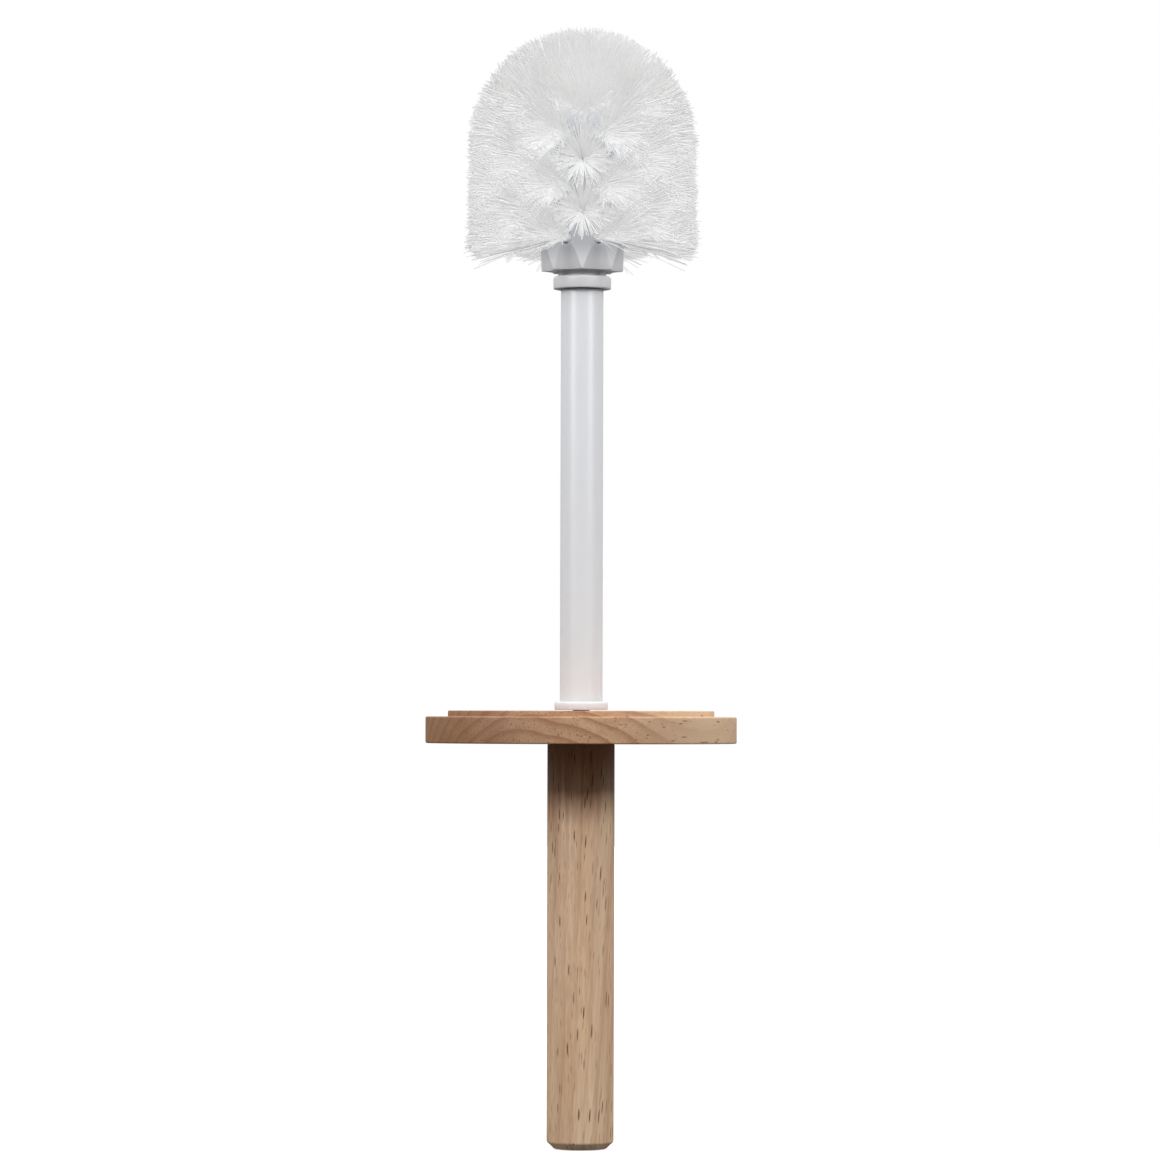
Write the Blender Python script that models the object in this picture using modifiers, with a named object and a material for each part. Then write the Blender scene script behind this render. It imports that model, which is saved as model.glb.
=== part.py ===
"""Toilet brush: a turned wooden handle and lid, a moulded rod and a brush head that screws off.

The brush stands on the end of its handle with the head up. The origin is the centre of the handle's end
face, +Z runs along the rod towards the head, and -Y is the front. All sizes are in metres.
"""
import math

import bmesh
import bpy
from mathutils import Matrix, Vector

GAP = 0.0003  # clearance between pieces that touch
SIDES = 30  # facets round a turned piece
LID_SIDES = 44

# Handle and lid, upwards from the handle's end face
HANDLE_RADIUS = 0.012
HANDLE_END_RADIUS = 0.0098
HANDLE_CHAMFER = 0.0026
LID_BOTTOM = 0.144
LID_LEDGE = 0.1535
LID_TOP = 0.1556
LID_RADIUS = 0.0555
LID_STEP_RADIUS = 0.0475
LID_ROUND = 0.0007

# Stud that joins the handle, the lid and the rod
STUD_RADIUS = 0.003
STUD_REACH_DOWN = 0.020
STUD_REACH_UP = 0.018

# Rod and its foot collar
ROD_RADIUS = 0.0076
COLLAR_RADIUS = 0.0095
COLLAR_TOP = 0.1589
SHOULDER = 0.3060
SPIGOT_RADIUS = 0.0052
SPIGOT_TOP = 0.330

# Right-hand thread of the spigot
PITCH = 0.004
THREAD_STEPS = 16  # facets in a turn
THREAD_PHASE = math.radians(4.3)  # keeps the thread's corners off those of the turned pieces
THREAD_START = 0.309
THREAD_TURNS = 4.0
CREST_RADIUS = 0.0062
ROOT_HALF_WIDTH = 0.0011
CREST_HALF_WIDTH = 0.00045
THREAD_SUNK = 0.0002  # how far the ridge starts inside the spigot
THREAD_CLEARANCE = 0.0004
RUN_IN_TURNS = 1.25  # groove below the ridge's start, out through the mouth
RUN_OUT_TURNS = 0.25

# Brush head
HEAD_BOTTOM = 0.3063
RING_TOP = 0.3108
RING_RADIUS = 0.0103
RING_ROUND = 0.0010
BOSS_RADIUS = 0.0086
SKIRT_BOTTOM = 0.3126
CORE_RADIUS = 0.0150
SKIRT_RADIUS = 0.0146  # at its lower edge
SKIRT_TOP = 0.3205
DOME_CENTRE = 0.359
SOCKET_RADIUS = 0.0056
SOCKET_TOP = 0.3315

# Scallops round the skirt: upright cones that cut its lower edge
SCALLOPS = 8
SCALLOP_DISTANCE = 0.0213
SCALLOP_LOW = 0.3106
SCALLOP_HIGH = 0.325
SCALLOP_LOW_RADIUS = 0.01014
SCALLOP_HIGH_RADIUS = 0.00554

# Bristle tufts
TUFTS_PER_RING = 8
LEVEL_RINGS = 5
LOWEST_RING = 0.3234
RING_PITCH = 0.0093
DOME_ELEVATIONS = [30.0]  # degrees, rings on the dome
CROWN_TUFTS = 4
CROWN_ELEVATION = 66.0
CROWN_AZIMUTH = 22.5  # of the first one, between two tufts of the ring below
TUFT_SIDES = 10
CORE_PHASE = math.radians(2.6)  # keeps the core's corners off the tuft holes
HOLE_ROLL = math.radians(11.0)
TUFT_ROOT_RADIUS = 0.0019
TUFT_REACH = 0.0404  # from the core's axis or the dome's centre to the trimmed end
TUFT_END_RADIUS = 0.0088
DOME_TUFT_END_RADIUS = 0.0093
HOLE_START = 0.009
DOME_HOLE_START = 0.0112


def clear_scene():
    for obj in list(bpy.data.objects):
        bpy.data.objects.remove(obj, do_unlink=True)


def new_collection(name):
    collection = bpy.data.collections.new(name)
    bpy.context.scene.collection.children.link(collection)
    return collection


def new_material(name, color, roughness, metallic=0.0):
    material = bpy.data.materials.new(name)
    material.use_nodes = True
    shader = material.node_tree.nodes["Principled BSDF"]
    shader.inputs["Base Color"].default_value = (*color, 1.0)
    shader.inputs["Roughness"].default_value = roughness
    shader.inputs["Metallic"].default_value = metallic
    return material


def new_object(name, mesh, collection, material=None, parent=None):
    obj = bpy.data.objects.new(name, mesh)
    if material:
        mesh.materials.clear()
        mesh.materials.append(material)
    obj.parent = parent
    collection.objects.link(obj)
    return obj


def new_empty(name, collection, parent=None):
    """An empty on the long axis, which carries the pieces that move together."""
    empty = bpy.data.objects.new(name, None)
    empty.empty_display_size = 0.03
    empty.parent = parent
    collection.objects.link(empty)
    return empty


def arc(radius, height, size, start, end, steps=3):
    """Points of a round edge in a profile, centred at (radius, height), from start to end degrees."""
    points = []
    for step in range(steps + 1):
        angle = math.radians(start + (end - start) * step / steps)
        points.append((radius + size * math.cos(angle), height + size * math.sin(angle)))
    return points


def turned_mesh(name, outline, closed=False, sides=SIDES):
    """A solid of revolution about Z. The outline's (radius, height) points run down its outer side."""
    profile = bpy.data.meshes.new(name)
    edges = [(i, i + 1) for i in range(len(outline) - 1)]
    if closed:
        edges.append((len(outline) - 1, 0))
    profile.from_pydata([(radius, 0.0, height) for radius, height in outline], edges, [])
    blank = bpy.data.objects.new(name, profile)
    bpy.context.scene.collection.objects.link(blank)
    screw = blank.modifiers.new("Turn", "SCREW")
    screw.axis = "Z"
    screw.angle = math.tau
    screw.steps = sides
    screw.render_steps = sides
    screw.use_merge_vertices = True
    screw.merge_threshold = 0.00001
    graph = bpy.context.evaluated_depsgraph_get()
    mesh = bpy.data.meshes.new_from_object(blank.evaluated_get(graph))
    bpy.data.objects.remove(blank)
    bpy.data.meshes.remove(profile)
    mesh.name = name
    mesh.shade_smooth()
    mesh.set_sharp_from_angle(angle=math.radians(35.0))
    return mesh


def add_boolean(obj, tool, operation):
    modifier = obj.modifiers.new(tool.name, "BOOLEAN")
    modifier.operation = operation
    modifier.solver = "EXACT"
    modifier.object = tool


def new_tool(name, mesh, tools):
    """A body that cuts or joins another one, and isn't a piece itself."""
    tool = new_object(name, mesh, tools)
    tool.hide_render = True
    tool.display_type = "WIRE"
    return tool


def helix_mesh(name, inner, outer, inner_half, outer_half, start, turns):
    """A trapezoid section swept up the thread. Its half widths are those at the two radii."""
    bm = bmesh.new()
    corners = [(inner, -inner_half), (outer, -outer_half), (outer, outer_half), (inner, inner_half)]
    verts = [bm.verts.new((radius, 0.0, start + height)) for radius, height in corners]
    face = bm.faces.new(verts)
    steps = round(turns * THREAD_STEPS)
    first_angle = math.tau * (start - THREAD_START) / PITCH + THREAD_PHASE
    bmesh.ops.rotate(bm, verts=verts, cent=(0.0, 0.0, 0.0), matrix=Matrix.Rotation(first_angle, 3, "Z"))
    bmesh.ops.spin(
        bm,
        geom=[face, *face.edges, *verts],
        cent=(0.0, 0.0, 0.0),
        axis=(0.0, 0.0, 1.0),
        dvec=(0.0, 0.0, PITCH / THREAD_STEPS),
        angle=turns * math.tau,
        steps=steps,
    )
    bmesh.ops.recalc_face_normals(bm, faces=bm.faces)
    mesh = bpy.data.meshes.new(name)
    bm.to_mesh(mesh)
    bm.free()
    return mesh


def tuft_direction(azimuth, elevation):
    """The unit vector of a tuft: azimuth 0 faces the front, elevation rises from level."""
    turn = math.radians(azimuth)
    rise = math.radians(elevation)
    return Vector((math.cos(rise) * math.sin(turn), -math.cos(rise) * math.cos(turn), math.sin(rise)))


def tuft_places():
    """Name, start on the axis, direction and whether it is on the dome, for every tuft."""
    places = []
    spacing = 360.0 / TUFTS_PER_RING
    rings = [(LOWEST_RING + ring * RING_PITCH, 0.0, False) for ring in range(LEVEL_RINGS)]
    rings += [(DOME_CENTRE, elevation, True) for elevation in DOME_ELEVATIONS]
    for ring, (height, elevation, on_dome) in enumerate(rings):
        stagger = spacing / 2 * ((ring + 1) % 2)
        for place in range(TUFTS_PER_RING):
            direction = tuft_direction(place * spacing + stagger, elevation)
            places.append((f"tuft_{ring + 1}_{place + 1}", height, direction, on_dome))
    for place in range(CROWN_TUFTS):
        direction = tuft_direction(place * 360.0 / CROWN_TUFTS + CROWN_AZIMUTH, CROWN_ELEVATION)
        places.append((f"tuft_crown_{place + 1}", DOME_CENTRE, direction, True))
    return places


def tuft_mesh(name, hole_start, end_radius):
    """A bundle of bristles along +Z: a straight root in its hole, fanning out to a domed end."""
    mouth = CORE_RADIUS + GAP
    rim = TUFT_REACH - 0.0010
    outline = [
        (0.0, TUFT_REACH),
        (0.55 * end_radius, TUFT_REACH - 0.0003),
        (end_radius, rim),
        (TUFT_ROOT_RADIUS, mouth),
        (TUFT_ROOT_RADIUS, hole_start + GAP),
        (0.0, hole_start + GAP),
    ]
    return turned_mesh(name, outline, sides=TUFT_SIDES)


def place_along(obj, height, direction):
    obj.location = (0.0, 0.0, height)
    obj.rotation_euler = direction.to_track_quat("Z", "Y").to_euler()


def build_handle(parts, parent):
    end_rise = HANDLE_CHAMFER * 0.25
    outline = [
        (0.0, LID_BOTTOM - GAP - STUD_REACH_DOWN),
        (STUD_RADIUS + GAP, LID_BOTTOM - GAP - STUD_REACH_DOWN),
        (STUD_RADIUS + GAP, LID_BOTTOM - GAP),
        (HANDLE_RADIUS, LID_BOTTOM - GAP),
        (HANDLE_RADIUS, HANDLE_CHAMFER),
        (HANDLE_RADIUS - 0.0003, HANDLE_CHAMFER - 0.0008),
        (HANDLE_END_RADIUS + 0.0007, end_rise),
        (HANDLE_END_RADIUS, 0.0),
        (0.0, 0.0),
    ]
    wood = new_material("handle_wood", (0.50, 0.34, 0.22), 0.55)
    return new_object("handle", turned_mesh("handle", outline), parts, wood, parent)


def build_lid(parts, parent):
    bore = STUD_RADIUS + GAP
    inset = LID_ROUND
    outline = [
        (bore, LID_TOP),
        *arc(LID_STEP_RADIUS - inset, LID_TOP - inset, inset, 90.0, 0.0, steps=2),
        (LID_STEP_RADIUS, LID_LEDGE),
        *arc(LID_RADIUS - inset, LID_LEDGE - inset, inset, 90.0, 0.0, steps=2),
        *arc(LID_RADIUS - inset, LID_BOTTOM + inset, inset, 0.0, -90.0, steps=2),
        (bore, LID_BOTTOM),
    ]
    wood = new_material("lid_wood", (0.40, 0.24, 0.15), 0.55)
    return new_object("lid", turned_mesh("lid", outline, closed=True, sides=LID_SIDES), parts, wood, parent)


def build_stud(parts, parent):
    top = LID_TOP + STUD_REACH_UP
    bottom = LID_BOTTOM - STUD_REACH_DOWN
    outline = [(0.0, top), (STUD_RADIUS, top), (STUD_RADIUS, bottom), (0.0, bottom)]
    steel = new_material("stud_steel", (0.60, 0.60, 0.60), 0.35, metallic=1.0)
    return new_object("joining_stud", turned_mesh("joining_stud", outline, sides=24), parts, steel, parent)


def build_foot_collar(parts, parent, plastic):
    bore = ROD_RADIUS + GAP
    inset = 0.0006
    outline = [
        (bore, COLLAR_TOP),
        *arc(COLLAR_RADIUS - inset, COLLAR_TOP - inset, inset, 90.0, 0.0),
        (COLLAR_RADIUS, LID_TOP + GAP),
        (bore, LID_TOP + GAP),
    ]
    mesh = turned_mesh("foot_collar", outline, closed=True)
    return new_object("foot_collar", mesh, parts, plastic, parent)


def build_rod(parts, tools, parent, plastic):
    """The rod with its blind hole for the stud, its shoulder and its threaded spigot."""
    inset = 0.0005
    hole = STUD_RADIUS + GAP
    hole_top = LID_TOP + STUD_REACH_UP + GAP
    outline = [
        (0.0, SPIGOT_TOP),
        (SPIGOT_RADIUS - inset, SPIGOT_TOP),
        (SPIGOT_RADIUS, SPIGOT_TOP - inset),
        (SPIGOT_RADIUS, SHOULDER),
        *arc(ROD_RADIUS - inset, SHOULDER - inset, inset, 90.0, 0.0),
        (ROD_RADIUS, LID_TOP + GAP),
        (hole, LID_TOP + GAP),
        (hole, hole_top),
        (0.0, hole_top),
    ]
    rod = new_object("rod", turned_mesh("rod", outline), parts, plastic, parent)
    inner = SPIGOT_RADIUS - THREAD_SUNK
    ridge = helix_mesh(
        "spigot_thread", inner, CREST_RADIUS, ROOT_HALF_WIDTH, CREST_HALF_WIDTH, THREAD_START, THREAD_TURNS
    )
    add_boolean(rod, new_tool("spigot_thread", ridge, tools), "UNION")
    return rod


def build_socket_ring(parts, parent, plastic):
    bore = BOSS_RADIUS + GAP
    inset = RING_ROUND
    outline = [
        (bore, RING_TOP),
        *arc(RING_RADIUS - inset, RING_TOP - inset, inset, 90.0, 0.0),
        (RING_RADIUS, HEAD_BOTTOM + 0.0003),
        (RING_RADIUS - 0.0003, HEAD_BOTTOM),
        (bore, HEAD_BOTTOM),
    ]
    mesh = turned_mesh("socket_ring", outline, closed=True)
    return new_object("socket_ring", mesh, parts, plastic, parent)


def core_mesh():
    """The moulded core: a dome, a straight side, a tapered skirt and a boss round the socket."""
    round_edge = 0.0004
    outline = [
        *arc(0.0, DOME_CENTRE, CORE_RADIUS, 90.0, 0.0, steps=7),
        (CORE_RADIUS, SKIRT_TOP),
        *arc(SKIRT_RADIUS - round_edge, SKIRT_BOTTOM + round_edge, round_edge, 0.0, -90.0, steps=2),
        (BOSS_RADIUS, SKIRT_BOTTOM),
        (BOSS_RADIUS, HEAD_BOTTOM),
        (SOCKET_RADIUS + 0.0005, HEAD_BOTTOM),
        (SOCKET_RADIUS, HEAD_BOTTOM + 0.0005),
        (SOCKET_RADIUS, SOCKET_TOP),
        (0.0, SOCKET_TOP),
    ]
    outline[0] = (0.0, DOME_CENTRE + CORE_RADIUS)
    mesh = turned_mesh("brush_core", outline)
    mesh.transform(Matrix.Rotation(CORE_PHASE, 4, "Z"))
    return mesh


def groove_mesh():
    """The thread's section grown by its clearance, from below the mouth to just past the ridge's end."""
    slope = (ROOT_HALF_WIDTH - CREST_HALF_WIDTH) / (CREST_RADIUS - SPIGOT_RADIUS + THREAD_SUNK)
    inner = SOCKET_RADIUS - GAP
    outer = CREST_RADIUS + THREAD_CLEARANCE
    inner_half = ROOT_HALF_WIDTH - slope * (inner - SPIGOT_RADIUS + THREAD_SUNK) + THREAD_CLEARANCE
    outer_half = CREST_HALF_WIDTH - slope * (outer - CREST_RADIUS) + THREAD_CLEARANCE
    start = THREAD_START - RUN_IN_TURNS * PITCH
    turns = RUN_IN_TURNS + THREAD_TURNS + RUN_OUT_TURNS
    return helix_mesh("socket_groove", inner, outer, inner_half, outer_half, start, turns)


def scallop_mesh(name, first):
    """Every other scallop cone, so that the cones of one tool don't meet."""
    bm = bmesh.new()
    for scallop in range(first, SCALLOPS, 2):
        direction = tuft_direction((scallop + 0.5) * 360.0 / SCALLOPS, 0.0)
        cone = bmesh.ops.create_cone(
            bm,
            cap_ends=True,
            segments=40,
            radius1=SCALLOP_LOW_RADIUS,
            radius2=SCALLOP_HIGH_RADIUS,
            depth=SCALLOP_HIGH - SCALLOP_LOW,
        )
        centre = direction * SCALLOP_DISTANCE + Vector((0.0, 0.0, (SCALLOP_LOW + SCALLOP_HIGH) / 2))
        bmesh.ops.translate(bm, verts=cone["verts"], vec=centre)
    mesh = bpy.data.meshes.new(name)
    bm.to_mesh(mesh)
    bm.free()
    return mesh


def tuft_holes_mesh():
    """One blind hole for each tuft, as rods that reach out of the core."""
    bm = bmesh.new()
    reach = CORE_RADIUS + 0.003
    for _, height, direction, on_dome in tuft_places():
        start = DOME_HOLE_START if on_dome else HOLE_START
        depth = reach - start
        hole = bmesh.ops.create_cone(
            bm,
            cap_ends=True,
            segments=TUFT_SIDES,
            radius1=TUFT_ROOT_RADIUS + GAP,
            radius2=TUFT_ROOT_RADIUS + GAP,
            depth=depth,
        )
        middle = Vector((0.0, 0.0, height)) + direction * (start + depth / 2)
        turn = direction.to_track_quat("Z", "Y").to_matrix() @ Matrix.Rotation(HOLE_ROLL, 3, "Z")
        bmesh.ops.rotate(bm, verts=hole["verts"], cent=(0.0, 0.0, 0.0), matrix=turn)
        bmesh.ops.translate(bm, verts=hole["verts"], vec=middle)
    mesh = bpy.data.meshes.new("tuft_holes")
    bm.to_mesh(mesh)
    bm.free()
    return mesh


def build_core(parts, tools, parent, plastic):
    core = new_object("brush_core", core_mesh(), parts, plastic, parent)
    add_boolean(core, new_tool("scallops_even", scallop_mesh("scallops_even", 0), tools), "DIFFERENCE")
    add_boolean(core, new_tool("scallops_odd", scallop_mesh("scallops_odd", 1), tools), "DIFFERENCE")
    add_boolean(core, new_tool("tuft_holes", tuft_holes_mesh(), tools), "DIFFERENCE")
    add_boolean(core, new_tool("socket_groove", groove_mesh(), tools), "DIFFERENCE")
    return core


def build_tufts(parts, parent):
    bristle = new_material("bristle_nylon", (0.86, 0.87, 0.88), 0.45)
    level = tuft_mesh("level_tuft", HOLE_START, TUFT_END_RADIUS)
    dome = tuft_mesh("dome_tuft", DOME_HOLE_START, DOME_TUFT_END_RADIUS)
    for name, height, direction, on_dome in tuft_places():
        tuft = new_object(name, dome if on_dome else level, parts, bristle, parent)
        place_along(tuft, height, direction)


def main():
    clear_scene()
    parts = new_collection("toilet_brush")
    tools = new_collection("cutters")
    stick = new_empty("stick", parts)
    neck = new_empty("head_lift_axis", parts, stick)
    head = new_empty("head_turn_axis", parts, neck)
    plastic = new_material("white_plastic", (0.78, 0.78, 0.79), 0.4)
    build_handle(parts, stick)
    build_lid(parts, stick)
    build_stud(parts, stick)
    build_foot_collar(parts, stick, plastic)
    build_rod(parts, tools, stick, plastic)
    build_socket_ring(parts, neck, plastic)
    build_core(parts, tools, head, plastic)
    build_tufts(parts, head)


main()
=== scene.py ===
import math
import random

import bpy
from mathutils import Matrix, Vector


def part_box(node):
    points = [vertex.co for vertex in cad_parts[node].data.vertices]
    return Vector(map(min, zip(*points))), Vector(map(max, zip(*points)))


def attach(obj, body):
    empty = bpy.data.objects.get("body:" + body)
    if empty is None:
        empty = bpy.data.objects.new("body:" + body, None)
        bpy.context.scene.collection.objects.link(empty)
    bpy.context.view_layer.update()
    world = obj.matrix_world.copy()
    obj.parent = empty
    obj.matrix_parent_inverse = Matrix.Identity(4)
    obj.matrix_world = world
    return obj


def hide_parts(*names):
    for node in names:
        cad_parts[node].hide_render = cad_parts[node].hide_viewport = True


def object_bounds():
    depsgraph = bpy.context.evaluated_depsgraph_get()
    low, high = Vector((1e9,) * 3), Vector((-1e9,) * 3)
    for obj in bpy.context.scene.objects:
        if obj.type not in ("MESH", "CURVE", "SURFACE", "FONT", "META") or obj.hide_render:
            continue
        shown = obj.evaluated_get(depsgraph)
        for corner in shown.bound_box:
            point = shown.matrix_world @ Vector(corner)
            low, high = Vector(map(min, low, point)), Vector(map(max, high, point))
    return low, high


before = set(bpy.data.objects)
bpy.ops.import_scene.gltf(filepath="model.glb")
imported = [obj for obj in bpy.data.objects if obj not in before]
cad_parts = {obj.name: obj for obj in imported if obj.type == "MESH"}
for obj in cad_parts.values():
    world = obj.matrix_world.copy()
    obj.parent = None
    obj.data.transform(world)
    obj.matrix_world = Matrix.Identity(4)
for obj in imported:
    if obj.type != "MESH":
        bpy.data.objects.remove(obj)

cad_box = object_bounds()

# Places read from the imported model
HANDLE_LOW, HANDLE_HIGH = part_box("handle")
LID_LOW, LID_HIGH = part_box("lid")
COLLAR_LOW, COLLAR_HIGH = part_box("foot_collar")
ROD_LOW, ROD_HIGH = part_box("rod")
RING_LOW, RING_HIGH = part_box("socket_ring")
CORE_LOW, CORE_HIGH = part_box("brush_core")
TOP = cad_box[1][2]

HANDLE_RADIUS = HANDLE_HIGH[0]
LID_RADIUS = LID_HIGH[0]
COLLAR_RADIUS = COLLAR_HIGH[0]
RING_RADIUS = RING_HIGH[0]

# Details of the turned and moulded pieces, in metres
LID_LEDGE = 0.1535
LID_STEP_RADIUS = 0.0475
LID_BORE = 0.0034
ROD_RADIUS = 0.0076
SHOULDER = 0.3060
SPIGOT_RADIUS = 0.0052
SOCKET_RADIUS = 0.0056
SOCKET_SPARE = 0.0015  # between the spigot's end and the socket's
BOSS_RADIUS = 0.0086
BORE_CLEARANCE = 0.0002
CAP_RADIUS = 0.0003  # of the small face that closes a turned piece on its axis
MERGE = 0.000001

# Right-hand thread of the spigot and its groove in the socket
PITCH = 0.004
THREAD_START = 0.309
THREAD_TURNS = 4.0
THREAD_STEPS = 24  # facets in a turn
THREAD_TURN = math.radians(4.3)  # keeps its corners off the corners of the rod and of the core
RIDGE_SIZE = 0.00085  # radius of its round section
RIDGE_OFFSET = 0.00005
GROOVE_SIZE = 0.00115
GROOVE_OFFSET = -0.0001
GROOVE_RUN_IN = 1.25  # turns below the ridge's start, out through the mouth
GROOVE_TURNS = 5.5

# Core of the brush head
CORE_RADIUS = 0.0150
CORE_TURN = math.radians(1.3)  # keeps its corners off the corners of its cutters
SKIRT_RADIUS = 0.0146  # at its lower edge
SKIRT_BOTTOM = 0.3126
SKIRT_TOP = 0.3205
SKIRT_ROUND = 0.0003
DOME_CENTRE = 0.359
SCALLOPS = 8
SCALLOP_DISTANCE = 0.0213
SCALLOP_LOW = 0.3106
SCALLOP_HIGH = 0.325
SCALLOP_LOW_RADIUS = 0.01014
SCALLOP_HIGH_RADIUS = 0.00554

# Bristle tufts and their holes
TUFTS_PER_RING = 8
LEVEL_RINGS = 5
LOWEST_RING = 0.3234
RING_PITCH = 0.0093
DOME_ELEVATIONS = [30.0]  # degrees, one for each ring on the dome
CROWN_TUFTS = 4
CROWN_ELEVATION = 66.0
CROWN_AZIMUTH = 22.5  # of the first one, between two tufts of the ring below
HOLE_RADIUS = 0.0022
HOLE_MIDDLE = 0.0149  # from the axis or the dome's centre
HOLE_LENGTH = 0.0060

# Outside that the bristles are trimmed to
TRIM_RADIUS = 0.0405
TRIM_INSET = 0.0002
FLARE = 0.0009  # how much wider the head is at its lowest tufts
FLARE_TOP = 0.345
FLARE_HEIGHT = 0.030
LONGEST_FILAMENT = 0.08  # more than any of them reaches
TRIM_HALVINGS = 18

# Filaments
FILAMENTS = 500
FILAMENT_RADIUS = 0.00011
FILAMENT_STEPS = (0.0, 0.3, 0.62, 1.0)  # from its hole to its tip
LEVEL_SPREAD = 22.5  # degrees from the middle of a tuft to its outermost filaments
DOME_SPREAD = 31.0
SPREAD_VARIES = (0.85, 1.12)
INNERMOST = 0.10  # share of a hole's radius
ROOT_DEPTH = 0.0026
ROOT_INSET = 0.0004
MOUTH_INSET = 0.0003
CLUMPS = 13  # strands that a tuft's filaments lean towards
CLUMP_PULL = 0.18
DROOP = 0.3  # how far the lowest tufts spread downwards, as a share of the rest
STRAY_DROOP = 0.65
STRAY_CHANCE = 0.10
TIP_SCATTER = 0.00035
SHORT_CHANCE = 0.05
SHORT_BY = 0.006
TIP_WANDER = 0.0005
BEND_WANDER = 0.0004
BEND_ALONG = 0.30  # shares of the length that place a filament's bend: along the tuft,
BEND_OUT = 0.16  # and along its own direction

# Wood grain: features in a metre, twice across the trunk and once along it
SWAY = (28, 28, 7)
SWAY_WIDTH = 0.011
FIBRES = (1500, 1500, 38)
PATCHES = (110, 110, 9)
VESSELS = (950, 950, 85)
FINE_VESSELS = (1500, 1500, 95)
FINE_SHIFT = (0.3, 0.1, 0)
# Painted shade under the lid: the size of its streaks, and how far down they carry it
LID_SHADE_STREAKS = (420, 420, 14)
LID_SHADE_REACH = 0.070

# Studio
FLOOR_SIZE = 8.0
FLOOR_DROP = 0.0002
SOFTBOX_POWER = 16.2
SOFTBOX_SIZE = 0.42
SOFTBOX_DISTANCE = 1.9
SOFTBOX_AZIMUTH = 50.0  # degrees to either side of the front
SOFTBOX_ELEVATION = 24.8
SOFTBOX_AIM = Vector((0.0, 0.0, 0.2))
CAMERA_PLACE = (-0.0004, -1.74, 0.154)
CAMERA_TURN = (91.59, -0.15, 0.0)
CAMERA_LENS = 151.3
SENSOR_WIDTH = 36.0
WHITE = (1.0, 1.0, 1.0, 1.0)


# ---------------------------------------------------------------- making pieces

def put_down():
    """Leave edit mode and select nothing."""
    if bpy.context.object and bpy.context.object.mode != "OBJECT":
        bpy.ops.object.mode_set(mode="OBJECT")
    bpy.ops.object.select_all(action="DESELECT")


def pick_up(piece):
    put_down()
    piece.select_set(True)
    bpy.context.view_layer.objects.active = piece


def name_piece(piece, name):
    piece.name = name
    piece.data.name = name


def arc(radius, height, size, start, end, steps=6):
    """Points of a rounded edge in an outline, from start to end degrees."""
    points = []
    for step in range(steps + 1):
        angle = math.radians(start + (end - start) * step / steps)
        points.append((radius + size * math.cos(angle), height + size * math.sin(angle)))
    return points


def turned(name, outline, sides=96, hollow=False):
    """Draw a ring out from point to point of an outline, as on a lathe, and close its ends."""
    put_down()
    radius, height = outline[0]
    bpy.ops.mesh.primitive_circle_add(vertices=sides, radius=radius, location=(0.0, 0.0, height))
    piece = bpy.context.object
    name_piece(piece, name)
    bpy.ops.object.transform_apply(location=True, rotation=False, scale=False)
    bpy.ops.object.mode_set(mode="EDIT")
    bpy.ops.mesh.select_mode(type="EDGE")
    bpy.ops.mesh.select_all(action="SELECT")
    stops = list(outline) + ([outline[0]] if hollow else [])
    for (radius, height), (next_radius, next_height) in zip(stops, stops[1:]):
        bpy.ops.mesh.extrude_edges_move(
            TRANSFORM_OT_translate={"value": (0.0, 0.0, next_height - height)}
        )
        ratio = next_radius / radius
        bpy.ops.transform.resize(value=(ratio, ratio, 1.0), center_override=(0.0, 0.0, 0.0))
    bpy.ops.mesh.select_all(action="SELECT")
    bpy.ops.mesh.remove_doubles(threshold=MERGE)
    if not hollow:
        bpy.ops.mesh.select_all(action="DESELECT")
        bpy.ops.mesh.select_non_manifold()
        bpy.ops.mesh.fill_holes(sides=0)
    bpy.ops.mesh.select_all(action="SELECT")
    bpy.ops.mesh.normals_make_consistent(inside=False)
    bpy.ops.object.mode_set(mode="OBJECT")
    return piece


def smooth(piece, angle=35.0):
    pick_up(piece)
    bpy.ops.object.shade_smooth_by_angle(angle=math.radians(angle))


def cut_or_join(piece, tool, operation):
    """Apply a Boolean with a tool piece, and throw the tool away."""
    pick_up(piece)
    modifier = piece.modifiers.new("shape", "BOOLEAN")
    modifier.operation = operation
    modifier.solver = "EXACT"
    modifier.object = tool
    bpy.ops.object.modifier_apply(modifier=modifier.name)
    bpy.data.objects.remove(tool)


def join_tools(tools, name):
    put_down()
    for tool in tools:
        tool.select_set(True)
    bpy.context.view_layer.objects.active = tools[0]
    bpy.ops.object.join()
    name_piece(bpy.context.object, name)
    bpy.ops.object.transform_apply(location=True, rotation=True, scale=True)
    return bpy.context.object


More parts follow.
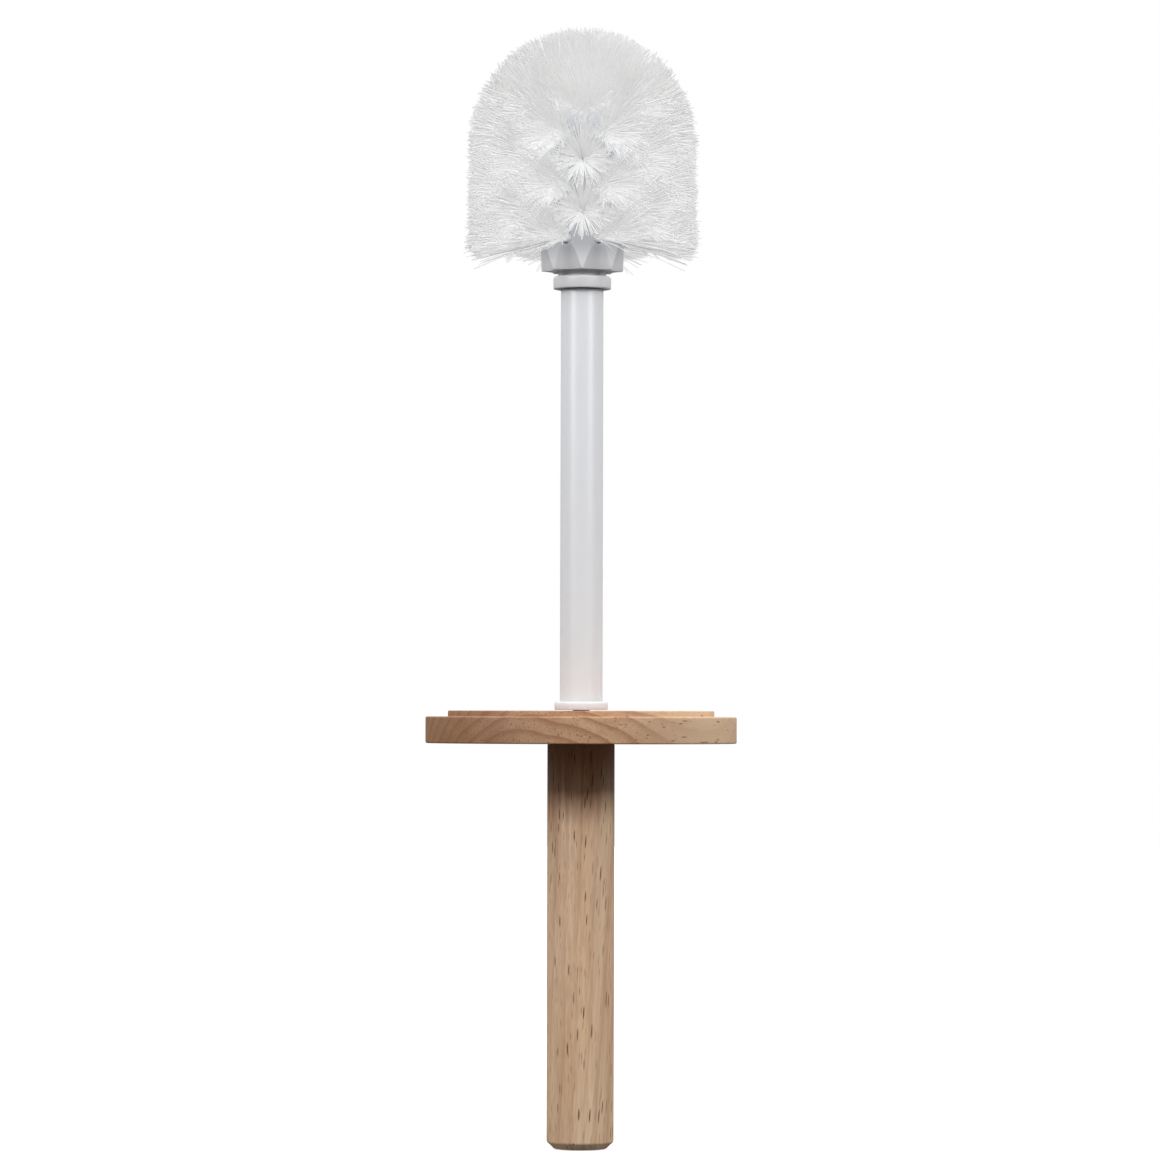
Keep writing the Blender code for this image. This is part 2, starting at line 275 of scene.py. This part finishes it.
def thread(name, radius, size, start, turns):
    """A round-crested thread: a small ring of the section, screwed upwards and capped."""
    put_down()
    bpy.ops.mesh.primitive_circle_add(
        vertices=10, radius=size, location=(radius, 0.0, start), rotation=(math.pi / 2, 0.0, 0.0)
    )
    piece = bpy.context.object
    name_piece(piece, name)
    bpy.ops.object.transform_apply(location=True, rotation=True, scale=True)
    screw = piece.modifiers.new("turns", "SCREW")
    screw.angle = math.tau * turns
    screw.screw_offset = PITCH * turns
    screw.steps = round(THREAD_STEPS * turns)
    screw.render_steps = screw.steps
    screw.use_merge_vertices = False
    bpy.ops.object.modifier_apply(modifier=screw.name)
    bpy.ops.object.mode_set(mode="EDIT")
    bpy.ops.mesh.select_mode(type="EDGE")
    bpy.ops.mesh.select_all(action="DESELECT")
    bpy.ops.mesh.select_non_manifold()
    bpy.ops.mesh.fill_holes(sides=0)
    bpy.ops.mesh.select_all(action="SELECT")
    bpy.ops.mesh.normals_make_consistent(inside=False)
    bpy.ops.object.mode_set(mode="OBJECT")
    phase = -math.tau * (THREAD_START - start) / PITCH + THREAD_TURN
    piece.data.transform(Matrix.Rotation(phase, 4, "Z"))
    return piece


def finish(piece, body, material, slot, *nodes):
    """Give a piece its material, its body and the solids that it stands for."""
    piece.data.materials.clear()
    piece.data.materials.append(material)
    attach(piece, body)
    if nodes:
        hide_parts(*nodes)


# ---------------------------------------------------------------- materials

class Recipe:
    """A material's node tree, with short ways to add and link its nodes."""

    def __init__(self, name):
        self.material = bpy.data.materials.new(name)
        self.material.use_nodes = True
        self.nodes = self.material.node_tree.nodes
        self.links = self.material.node_tree.links
        self.shader = self.nodes["Principled BSDF"]
        self.place = self.nodes.new("ShaderNodeTexCoord").outputs["Object"]

    def link(self, source, target):
        if isinstance(source, (int, float, tuple)):
            target.default_value = source
        else:
            self.links.new(source, target)

    def mapped(self, vector, location=(0, 0, 0), turn=(0, 0, 0), scale=(1, 1, 1)):
        node = self.nodes.new("ShaderNodeMapping")
        self.link(vector, node.inputs["Vector"])
        node.inputs["Location"].default_value = location
        node.inputs["Rotation"].default_value = [math.radians(angle) for angle in turn]
        node.inputs["Scale"].default_value = scale
        return node.outputs["Vector"]

    def noise(self, vector, scale=1.0, detail=2.0, rough=0.5):
        node = self.nodes.new("ShaderNodeTexNoise")
        self.link(vector, node.inputs["Vector"])
        node.inputs["Scale"].default_value = scale
        node.inputs["Detail"].default_value = detail
        node.inputs["Roughness"].default_value = rough
        return node.outputs["Fac"]

    def cells(self, vector):
        node = self.nodes.new("ShaderNodeTexVoronoi")
        self.link(vector, node.inputs["Vector"])
        node.inputs["Scale"].default_value = 1.0
        return node.outputs["Distance"], node.outputs["Color"]

    def math(self, operation, first, second=0.0, third=0.0):
        node = self.nodes.new("ShaderNodeMath")
        node.operation = operation
        for value, socket in zip((first, second, third), node.inputs):
            self.link(value, socket)
        return node.outputs[0]

    def vector_math(self, operation, first, second=(0.0, 0.0, 0.0)):
        node = self.nodes.new("ShaderNodeVectorMath")
        node.operation = operation
        self.link(first, node.inputs[0])
        self.link(second, node.inputs[1])
        return node.outputs["Value"] if operation == "LENGTH" else node.outputs["Vector"]

    def stretch(self, value, low, high, to_low=0.0, to_high=1.0):
        node = self.nodes.new("ShaderNodeMapRange")
        node.interpolation_type = "SMOOTHSTEP"
        self.link(value, node.inputs["Value"])
        for key, amount in (("From Min", low), ("From Max", high), ("To Min", to_low), ("To Max", to_high)):
            node.inputs[key].default_value = amount
        return node.outputs["Result"]

    def blend(self, amount, first, second, mode="MIX"):
        node = self.nodes.new("ShaderNodeMix")
        node.data_type = "RGBA"
        node.blend_type = mode
        self.link(amount, node.inputs["Factor"])
        self.link(first, node.inputs[6])
        self.link(second, node.inputs[7])
        return node.outputs[2]

    def split(self, vector):
        node = self.nodes.new("ShaderNodeSeparateXYZ")
        self.link(vector, node.inputs[0])
        return node.outputs

    def joined(self, *parts):
        node = self.nodes.new("ShaderNodeCombineXYZ")
        for part, socket in zip(parts, node.inputs):
            self.link(part, socket)
        return node.outputs[0]

    def scatter(self, weight, depth):
        """Light that enters the surface and comes out again within about this depth."""
        self.shader.inputs["Subsurface Weight"].default_value = weight
        self.shader.inputs["Subsurface Radius"].default_value = (1.0, 1.0, 1.0)
        self.shader.inputs["Subsurface Scale"].default_value = depth

    def bump(self, height, distance, strength=1.0):
        node = self.nodes.new("ShaderNodeBump")
        self.link(height, node.inputs["Height"])
        node.inputs["Distance"].default_value = distance
        node.inputs["Strength"].default_value = strength
        self.link(node.outputs["Normal"], self.shader.inputs["Normal"])


def linear(red, green, blue):
    """A colour given as it looks, on the 0 to 255 scale, as the light it reflects."""
    return tuple((part / 255) ** 2.2 for part in (red, green, blue)) + (1.0,)


def late_wood(recipe, trunk, ring_width):
    """How dark each growth ring is: more and more across its outer half, with a sharp end."""
    sway = recipe.noise(recipe.mapped(trunk, scale=SWAY))
    radius = recipe.vector_math("LENGTH", recipe.vector_math("MULTIPLY", trunk, (1.0, 1.0, 0.0)))
    swayed = recipe.math("MULTIPLY_ADD", sway, SWAY_WIDTH, radius)
    ring = recipe.math("FRACT", recipe.math("DIVIDE", swayed, ring_width))
    return recipe.math("MULTIPLY", recipe.stretch(ring, 0.45, 0.93), recipe.stretch(ring, 1.0, 0.95))


def vessel_lines(recipe, trunk, location, scale, channel, chances, widths):
    """Short lines along the trunk: the middles of long cells, with some of the cells left out."""
    distance, chance = recipe.cells(recipe.mapped(trunk, location=location, scale=scale))
    kept = recipe.stretch(recipe.split(chance)[channel], *chances)
    return recipe.math("MULTIPLY", recipe.stretch(distance, *widths), kept)


def wood(name, pale, warm, late, pore, place, turn, ring_width, banding, vessels, lean):
    """Open-pored wood: growth rings round a pith, fibre streaks and dark vessel lines along the trunk."""
    recipe = Recipe(name)
    trunk = recipe.mapped(recipe.place, location=place, turn=turn)
    late_band = late_wood(recipe, trunk, ring_width)
    fibre = recipe.noise(recipe.mapped(trunk, scale=FIBRES), detail=3.0, rough=0.6)
    patch = recipe.noise(recipe.mapped(trunk, scale=PATCHES), detail=3.0)
    colour = recipe.blend(recipe.stretch(patch, 0.32, 0.68), pale, warm)
    colour = recipe.blend(recipe.math("MULTIPLY", late_band, banding), colour, late)
    streak = recipe.stretch(fibre, 0.35, 0.7, 0.88, 1.07)
    colour = recipe.blend(1.0, colour, recipe.joined(streak, streak, streak), mode="MULTIPLY")
    colour = lean(recipe, colour)
    line = vessel_lines(recipe, trunk, (0, 0, 0), VESSELS, 0, (0.40, 0.48), (0.31, 0.16))
    fine_line = vessel_lines(recipe, trunk, FINE_SHIFT, FINE_VESSELS, 1, (0.5, 0.6), (0.30, 0.15))
    early = recipe.stretch(late_band, 0.75, 0.1, 0.35, 1.0)
    either_line = recipe.math("MAXIMUM", line, recipe.math("MULTIPLY", fine_line, 0.5))
    vessel = recipe.math("MULTIPLY", either_line, early)
    colour = recipe.blend(recipe.math("MULTIPLY", vessel, vessels), colour, pore)
    recipe.link(colour, recipe.shader.inputs["Base Color"])
    recipe.link(recipe.stretch(fibre, 0.3, 0.7, 0.62, 0.48), recipe.shader.inputs["Roughness"])
    height = recipe.math("SUBTRACT", recipe.math("MULTIPLY", fibre, 0.35), vessel)
    recipe.bump(height, 0.00006, 0.6)
    return recipe.material


def handle_wood():
    """Pale wood with a nearly upright trunk, with painted shade that makes it browner under the lid."""
    def painted_lid_shade(recipe, colour):
        """Painted shade under the lid: darker and browner, in streaks that run down from the lid."""
        streak = recipe.noise(recipe.mapped(recipe.place, scale=LID_SHADE_STREAKS), detail=3.0)
        height = recipe.math("MULTIPLY_ADD", streak, LID_SHADE_REACH, recipe.split(recipe.place)[2])
        # painted shade: a warm dark brown laid over the wood just below the lid, where the lid's shadow falls
        return recipe.blend(recipe.stretch(height, 0.141, 0.178, 0.0, 0.74), colour, linear(150, 86, 47))

    return wood(
        "handle_wood",
        pale=linear(222, 191, 158),
        warm=linear(206, 170, 136),
        late=linear(173, 128, 94),
        pore=linear(98, 58, 36),
        place=(0.021, 0.012, 0.0),
        turn=(4.0, -3.2, 0.0),
        ring_width=0.0046,
        banding=0.28,
        vessels=0.9,
        lean=painted_lid_shade,
    )


def lid_wood():
    """Redder wood, whose trunk lies across the lid at a slant."""
    def across_board(recipe, colour):
        """The board is red-brown on its left side and pale on its right."""
        across = recipe.split(recipe.place)[0]
        colour = recipe.blend(recipe.stretch(across, 0.015, -0.050, 0.0, 0.72), colour, linear(134, 91, 60))
        return recipe.blend(recipe.stretch(across, 0.010, 0.046, 0.0, 0.75), colour, linear(217, 187, 154))

    return wood(
        "lid_wood",
        pale=linear(203, 164, 130),
        warm=linear(184, 141, 107),
        late=linear(142, 92, 60),
        pore=linear(84, 50, 33),
        place=(-0.018, 0.117, 0.0),
        turn=(90.0, -40.0, 0.0),
        ring_width=0.0046,
        banding=0.62,
        vessels=0.6,
        lean=across_board,
    )


def moulded_plastic():
    """White plastic, with painted shade that makes it greyer where the core is buried among the bristles."""
    recipe = Recipe("white_plastic")
    cloud = recipe.noise(recipe.place, scale=90.0, detail=2.0)
    colour = recipe.blend(cloud, linear(226, 227, 230), linear(222, 223, 226))
    # painted shade: the core greyer from the skirt upwards, in place of the shadow that the bristles would
    # cast on it
    painted_bristle_shade = recipe.stretch(recipe.split(recipe.place)[2], SKIRT_BOTTOM + 0.0015, SKIRT_TOP + 0.002)
    colour = recipe.blend(painted_bristle_shade, colour, linear(186, 188, 192))
    recipe.link(colour, recipe.shader.inputs["Base Color"])
    grain = recipe.noise(recipe.place, scale=2600.0, detail=2.0)
    recipe.link(recipe.stretch(grain, 0.3, 0.7, 0.36, 0.44), recipe.shader.inputs["Roughness"])
    recipe.bump(grain, 0.00002, 0.5)
    recipe.scatter(0.7, 0.003)
    return recipe.material


def nylon():
    """White filaments, with painted shade that greys them deep in the head in place of the shadows that they
    don't cast, and painted light that whitens them towards the top.
    """
    recipe = Recipe("bristle_nylon")
    x, y, z = recipe.split(recipe.place)[:3]
    # painted shade: filaments greyer the deeper they lie in the head
    above_dome = recipe.math("MAXIMUM", recipe.math("SUBTRACT", z, DOME_CENTRE), 0.0)
    depth = recipe.vector_math("LENGTH", recipe.joined(x, y, above_dome))
    cloud = recipe.noise(recipe.place, scale=900.0, detail=2.0)
    reach = recipe.math("MULTIPLY_ADD", cloud, 0.008, depth)
    amount = recipe.stretch(reach, CORE_RADIUS + 0.003, TRIM_RADIUS - 0.004)
    colour = recipe.blend(amount, linear(196, 201, 210), linear(238, 240, 245))
    # painted light: filaments whiter towards the top of the head
    colour = recipe.blend(recipe.stretch(z, 0.355, TOP - 0.006, 0.0, 0.9), colour, linear(255, 255, 255))
    recipe.link(colour, recipe.shader.inputs["Base Color"])
    recipe.shader.inputs["Roughness"].default_value = 0.55
    recipe.scatter(1.0, 0.0006)
    return recipe.material


def stud_steel():
    """Plain steel, streaked along the stud."""
    recipe = Recipe("stud_steel")
    wear = recipe.noise(recipe.mapped(recipe.place, scale=(900, 900, 60)), detail=2.0)
    colour = recipe.blend(wear, linear(190, 190, 192), linear(168, 168, 170))
    recipe.link(colour, recipe.shader.inputs["Base Color"])
    recipe.link(recipe.stretch(wear, 0.3, 0.7, 0.28, 0.42), recipe.shader.inputs["Roughness"])
    recipe.shader.inputs["Metallic"].default_value = 1.0
    return recipe.material


# ---------------------------------------------------------------- wooden and moulded pieces

def turn_handle(material):
    """The round stick: a softly broken edge at the top and a rounded chamfer at its end."""
    bottom = HANDLE_LOW[2]
    top = HANDLE_HIGH[2]
    outline = [
        (0.0004, top),
        *arc(HANDLE_RADIUS - 0.0003, top - 0.0003, 0.0003, 90.0, 0.0, steps=3),
        *arc(HANDLE_RADIUS - 0.0012, bottom + 0.0029, 0.0012, 0.0, -38.0, steps=5),
        *arc(HANDLE_RADIUS - 0.0030, bottom + 0.0009, 0.0009, -42.0, -90.0, steps=5),
        (0.0004, bottom),
    ]
    handle = turned("wooden_handle", outline)
    smooth(handle, 30.0)
    finish(handle, "stick", material, "handle_wood", "handle")


def turn_lid(material):
    """The lid disc and its raised step, with lightly sanded edges."""
    bottom = LID_LOW[2]
    top = LID_HIGH[2]
    edge = 0.0006
    outline = [
        (LID_BORE, top),
        *arc(LID_STEP_RADIUS - 0.0004, top - 0.0004, 0.0004, 90.0, 0.0, steps=4),
        (LID_STEP_RADIUS, LID_LEDGE + 0.0002),
        (LID_STEP_RADIUS + 0.0002, LID_LEDGE),
        *arc(LID_RADIUS - edge, LID_LEDGE - edge, edge, 90.0, 0.0),
        *arc(LID_RADIUS - edge, bottom + edge, edge, 0.0, -90.0),
        (LID_BORE, bottom),
    ]
    lid = turned("wooden_lid", outline, sides=224, hollow=True)
    smooth(lid, 30.0)
    finish(lid, "stick", material, "lid_wood", "lid")


def mould_collar(material):
    """The thin ring round the rod's foot."""
    bottom = COLLAR_LOW[2]
    top = COLLAR_HIGH[2]
    bore = ROD_RADIUS + BORE_CLEARANCE
    outline = [
        (bore, top - 0.0002),
        (bore + 0.0002, top),
        *arc(COLLAR_RADIUS - 0.0007, top - 0.0007, 0.0007, 90.0, 0.0),
        *arc(COLLAR_RADIUS - 0.0002, bottom + 0.0002, 0.0002, 0.0, -90.0, steps=2),
        (bore, bottom),
    ]
    collar = turned("rod_foot_collar", outline, hollow=True)
    smooth(collar)
    finish(collar, "stick", material, "white_plastic", "foot_collar")


def mould_rod(material):
    """The rod, its shoulder and its threaded spigot."""
    bottom = ROD_LOW[2]
    top = ROD_HIGH[2]
    outline = [
        (CAP_RADIUS, top),
        *arc(SPIGOT_RADIUS - 0.0006, top - 0.0006, 0.0006, 90.0, 0.0, steps=3),
        (SPIGOT_RADIUS, SHOULDER + 0.0003),
        (SPIGOT_RADIUS + 0.0003, SHOULDER),
        *arc(ROD_RADIUS - 0.0002, SHOULDER - 0.0002, 0.0002, 90.0, 0.0, steps=3),
        (ROD_RADIUS, bottom),
        (CAP_RADIUS, bottom),
    ]
    rod = turned("plastic_rod", outline)
    ridge = thread("spigot_thread", SPIGOT_RADIUS + RIDGE_OFFSET, RIDGE_SIZE, THREAD_START, THREAD_TURNS)
    cut_or_join(rod, ridge, "UNION")
    smooth(rod)
    finish(rod, "stick", material, "white_plastic", "rod")


def mould_socket_ring(material):
    """The ring at the neck, rounder on its upper edge."""
    bottom = RING_LOW[2]
    top = RING_HIGH[2]
    bore = BOSS_RADIUS + BORE_CLEARANCE
    edge = 0.0010
    outline = [
        (bore, top),
        *arc(RING_RADIUS - edge, top - edge, edge, 90.0, 0.0, steps=7),
        *arc(RING_RADIUS - 0.0003, bottom + 0.0003, 0.0003, 0.0, -90.0, steps=3),
        (bore, bottom),
    ]
    ring = turned("neck_ring", outline, hollow=True)
    smooth(ring)
    finish(ring, "head_collar", material, "white_plastic", "socket_ring")


def tuft_direction(azimuth, elevation):
    """A tuft's unit vector: azimuth 0 faces the front, and elevation rises from level."""
    turn = math.radians(azimuth)
    rise = math.radians(elevation)
    return Vector((math.cos(rise) * math.sin(turn), -math.cos(rise) * math.cos(turn), math.sin(rise)))


def tuft_rings():
    """For each ring of tufts: its name, the nodes that it stands for, and each tuft's root and direction."""
    spacing = 360.0 / TUFTS_PER_RING
    seats = [(LOWEST_RING + ring * RING_PITCH, 0.0) for ring in range(LEVEL_RINGS)]
    seats += [(DOME_CENTRE, elevation) for elevation in DOME_ELEVATIONS]
    rings = []
    for number, (height, elevation) in enumerate(seats, start=1):
        stagger = spacing / 2 if number % 2 == 1 else 0.0
        directions = [tuft_direction(place * spacing + stagger, elevation) for place in range(TUFTS_PER_RING)]
        nodes = [f"tuft_{number}_{place + 1}" for place in range(TUFTS_PER_RING)]
        rings.append((f"bristles_ring_{number}", nodes, height, directions))
    turns = [place * 360.0 / CROWN_TUFTS + CROWN_AZIMUTH for place in range(CROWN_TUFTS)]
    directions = [tuft_direction(turn, CROWN_ELEVATION) for turn in turns]
    nodes = [f"tuft_crown_{place + 1}" for place in range(CROWN_TUFTS)]
    rings.append(("bristles_crown", nodes, DOME_CENTRE, directions))
    return rings


def scallop_cones(first):
    """Upright cones round the skirt, every second one from the first, as one cutter."""
    cones = []
    for place in range(first, SCALLOPS, 2):
        centre = tuft_direction((place + 0.5) * 360.0 / SCALLOPS, 0.0) * SCALLOP_DISTANCE
        put_down()
        bpy.ops.mesh.primitive_cone_add(
            vertices=96,
            radius1=SCALLOP_LOW_RADIUS,
            radius2=SCALLOP_HIGH_RADIUS,
            depth=SCALLOP_HIGH - SCALLOP_LOW,
            location=(centre.x, centre.y, (SCALLOP_LOW + SCALLOP_HIGH) / 2),
        )
        cones.append(bpy.context.object)
    return join_tools(cones, "scallops")


def tuft_holes():
    """A cylinder in the place of every tuft's hole, as one cutter."""
    holes = []
    for _, _, height, directions in tuft_rings():
        for direction in directions:
            put_down()
            bpy.ops.mesh.primitive_cylinder_add(
                vertices=20,
                radius=HOLE_RADIUS,
                depth=HOLE_LENGTH,
                location=Vector((0.0, 0.0, height)) + direction * HOLE_MIDDLE,
                rotation=direction.to_track_quat("Z", "Y").to_euler(),
            )
            holes.append(bpy.context.object)
    return join_tools(holes, "tuft_holes")


def mould_core(material):
    """The core with its scalloped skirt, its tuft holes and its threaded socket."""
    mouth = CORE_LOW[2]
    end = ROD_HIGH[2] + SOCKET_SPARE
    skirt_arc = arc(SKIRT_RADIUS - SKIRT_ROUND, SKIRT_BOTTOM + SKIRT_ROUND, SKIRT_ROUND, 0.0, -90.0, steps=3)
    outline = [
        (CAP_RADIUS, DOME_CENTRE + CORE_RADIUS),
        *arc(0.0, DOME_CENTRE, CORE_RADIUS, 84.0, 0.0, steps=14),
        (CORE_RADIUS, SKIRT_TOP),
        *skirt_arc,
        (BOSS_RADIUS, SKIRT_BOTTOM),
        (BOSS_RADIUS, mouth),
        (SOCKET_RADIUS + 0.0004, mouth),
        (SOCKET_RADIUS, mouth + 0.0004),
        (SOCKET_RADIUS, end),
        (CAP_RADIUS, end),
    ]
    core = turned("moulded_core", outline)
    core.data.transform(Matrix.Rotation(CORE_TURN, 4, "Z"))
    for first in (0, 1):
        cut_or_join(core, scallop_cones(first), "DIFFERENCE")
    cut_or_join(core, tuft_holes(), "DIFFERENCE")
    start = THREAD_START - GROOVE_RUN_IN * PITCH
    groove = thread("socket_groove", SOCKET_RADIUS + GROOVE_OFFSET, GROOVE_SIZE, start, GROOVE_TURNS)
    cut_or_join(core, groove, "DIFFERENCE")
    smooth(core, 32.0)
    finish(core, "brush_head", material, "white_plastic", "brush_core")


# ---------------------------------------------------------------- bristles

def trim_reach(point, direction):
    """How far a filament runs from point before it meets the trimmed outside of the head."""
    low, high = 0.0, LONGEST_FILAMENT
    for _ in range(TRIM_HALVINGS):
        reach = (low + high) / 2
        tip = point + direction * reach
        flare = FLARE * max(0.0, min(1.0, (FLARE_TOP - tip.z) / FLARE_HEIGHT))
        rise = max(0.0, tip.z - DOME_CENTRE)
        radius = math.sqrt(tip.x ** 2 + tip.y ** 2 + rise ** 2)
        if radius < TRIM_RADIUS + flare - TRIM_INSET:
            low = reach
        else:
            high = reach
    return low


def bristle_path(root, axis, side, up, rng, spread, lowest):
    """One filament: straight out of its hole, then bending away from the tuft's middle to its trimmed tip."""
    angle = rng.uniform(0.0, math.tau)
    share = INNERMOST + (1.0 - INNERMOST) * math.sqrt(rng.random())
    clump = round(angle / math.tau * CLUMPS) / CLUMPS * math.tau
    angle = angle + (clump - angle) * CLUMP_PULL
    rise = math.sin(angle)
    if lowest and rise < 0.0:
        rise *= DROOP if rng.random() > STRAY_CHANCE else STRAY_DROOP
    outward = side * math.cos(angle) + up * rise
    start = root - axis * ROOT_DEPTH + outward * (HOLE_RADIUS - ROOT_INSET) * share
    lean = math.tan(math.radians(spread * share * rng.uniform(*SPREAD_VARIES)))
    direction = (axis + outward * lean).normalized()
    mouth = root + outward * (HOLE_RADIUS - MOUTH_INSET) * share
    length = trim_reach(mouth, direction)
    length += rng.gauss(0.0, TIP_SCATTER)
    if rng.random() < SHORT_CHANCE:
        length -= rng.uniform(0.0, SHORT_BY)
    wander = Vector((rng.gauss(0, 1), rng.gauss(0, 1), rng.gauss(0, 1)))
    tip = mouth + direction * length + wander * TIP_WANDER
    middle = mouth + axis * length * BEND_ALONG + direction * length * BEND_OUT + wander * BEND_WANDER
    points = [start]
    for step in FILAMENT_STEPS:
        points.append(mouth * (1 - step) ** 2 + middle * (2 * step * (1 - step)) + tip * step ** 2)
    return points


def set_tufts(name, height, directions, material, nodes, seed):
    """Fill one ring of holes: every filament is a thin curve, and the ring is made one mesh."""
    rng = random.Random(seed)
    curve = bpy.data.curves.new(name, "CURVE")
    curve.dimensions = "3D"
    curve.bevel_depth = FILAMENT_RADIUS
    curve.bevel_resolution = 0
    curve.use_fill_caps = True
    for axis in directions:
        side = axis.cross(Vector((0.0, 0.0, 1.0))).normalized()
        up = side.cross(axis).normalized()
        root = Vector((0.0, 0.0, height)) + axis * CORE_RADIUS
        spread = LEVEL_SPREAD if abs(axis.z) < 0.1 else DOME_SPREAD
        for _ in range(FILAMENTS):
            path = bristle_path(root, axis, side, up, rng, spread, height == LOWEST_RING)
            spline = curve.splines.new("POLY")
            spline.points.add(len(path) - 1)
            for knot, point in zip(spline.points, path):
                knot.co = (*point, 1.0)
    tufts = bpy.data.objects.new(name, curve)
    bpy.context.scene.collection.objects.link(tufts)
    pick_up(tufts)
    bpy.ops.object.convert(target="MESH")
    tufts = bpy.context.object
    name_piece(tufts, name)
    bpy.ops.object.mode_set(mode="EDIT")
    bpy.ops.mesh.select_all(action="SELECT")
    bpy.ops.mesh.remove_doubles(threshold=0.000002)
    bpy.ops.mesh.normals_make_consistent(inside=False)
    bpy.ops.object.mode_set(mode="OBJECT")
    smooth(tufts, 60.0)
    tufts.visible_shadow = False  # thin nylon passes most of the light that falls on it
    tufts.visible_diffuse = False
    finish(tufts, "brush_head", material, "bristle_nylon", *nodes)


# ---------------------------------------------------------------- studio

def set_floor():
    """A pale floor that glows a little, so that it stays even."""
    put_down()
    bpy.ops.mesh.primitive_plane_add(size=FLOOR_SIZE, location=(0.0, 0.0, -FLOOR_DROP))
    floor = bpy.context.object
    name_piece(floor, "studio_floor")
    bpy.ops.object.transform_apply(location=True, rotation=False, scale=False)
    recipe = Recipe("studio_white")
    recipe.shader.inputs["Base Color"].default_value = (0.9, 0.9, 0.9, 1.0)
    recipe.shader.inputs["Roughness"].default_value = 0.9
    recipe.shader.inputs["Emission Color"].default_value = WHITE
    recipe.shader.inputs["Emission Strength"].default_value = 0.55
    floor.data.materials.append(recipe.material)
    floor.visible_diffuse = False
    floor.visible_glossy = False


def light_room():
    """A white backdrop for the camera. For the light it is brighter above, and dimmer in front."""
    world = bpy.data.worlds.new("studio")
    bpy.context.scene.world = world
    world.use_nodes = True
    nodes = world.node_tree.nodes
    links = world.node_tree.links
    nodes.clear()
    seen = nodes.new("ShaderNodeBackground")
    room = nodes.new("ShaderNodeBackground")
    for backdrop in (seen, room):
        backdrop.inputs["Color"].default_value = WHITE
    seen.inputs["Strength"].default_value = 1.0
    place = nodes.new("ShaderNodeTexCoord")
    axes = nodes.new("ShaderNodeSeparateXYZ")
    links.new(place.outputs["Generated"], axes.inputs[0])
    product = nodes.new("ShaderNodeMath")
    product.operation = "MULTIPLY"
    ramps = (("Z", 0.0, 0.8, 0.16, 1.55), ("Y", -0.4, 0.4, 0.65, 1.0))
    for (axis, *amounts), factor in zip(ramps, product.inputs):
        ramp = nodes.new("ShaderNodeMapRange")
        for key, amount in zip(("From Min", "From Max", "To Min", "To Max"), amounts):
            ramp.inputs[key].default_value = amount
        links.new(axes.outputs[axis], ramp.inputs["Value"])
        links.new(ramp.outputs[0], factor)
    links.new(product.outputs[0], room.inputs["Strength"])
    ray = nodes.new("ShaderNodeLightPath")
    mix = nodes.new("ShaderNodeMixShader")
    out = nodes.new("ShaderNodeOutputWorld")
    links.new(ray.outputs["Is Camera Ray"], mix.inputs["Fac"])
    links.new(room.outputs[0], mix.inputs[1])
    links.new(seen.outputs[0], mix.inputs[2])
    links.new(mix.outputs[0], out.inputs["Surface"])


def set_softboxes():
    """One to either side of the front, a little above, both aimed at the middle of the brush."""
    for side in (-1, 1):
        azimuth = math.radians(SOFTBOX_AZIMUTH * side)
        elevation = math.radians(SOFTBOX_ELEVATION)
        away = Vector((
            math.sin(azimuth) * math.cos(elevation),
            -math.cos(azimuth) * math.cos(elevation),
            math.sin(elevation),
        ))
        lamp = bpy.data.lights.new("softbox", "AREA")
        lamp.size = SOFTBOX_SIZE
        lamp.energy = SOFTBOX_POWER
        lamp_object = bpy.data.objects.new("softbox", lamp)
        lamp_object.location = SOFTBOX_AIM + away * SOFTBOX_DISTANCE
        lamp_object.rotation_euler = away.to_track_quat("Z", "Y").to_euler()
        bpy.context.scene.collection.objects.link(lamp_object)


def set_camera():
    """At the height of the lid, looking very slightly upwards."""
    lens = bpy.data.cameras.new("camera")
    lens.sensor_width = SENSOR_WIDTH
    lens.lens = CAMERA_LENS
    lens.clip_start = 0.05
    camera = bpy.data.objects.new("camera", lens)
    camera.location = CAMERA_PLACE
    camera.rotation_euler = [math.radians(angle) for angle in CAMERA_TURN]
    bpy.context.scene.collection.objects.link(camera)
    bpy.context.scene.camera = camera


def main():
    scene = bpy.context.scene
    scene.view_settings.view_transform = "Standard"
    plastic = moulded_plastic()
    bristle = nylon()
    turn_handle(handle_wood())
    turn_lid(lid_wood())
    mould_collar(plastic)
    mould_rod(plastic)
    mould_socket_ring(plastic)
    mould_core(plastic)
    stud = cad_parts["joining_stud"]
    steel = stud_steel()
    for slot in stud.material_slots:
        slot.material = steel
    for seed, (name, nodes, height, directions) in enumerate(tuft_rings(), start=1):
        set_tufts(name, height, directions, bristle, nodes, seed)
    set_floor()
    light_room()
    set_softboxes()
    set_camera()


main()
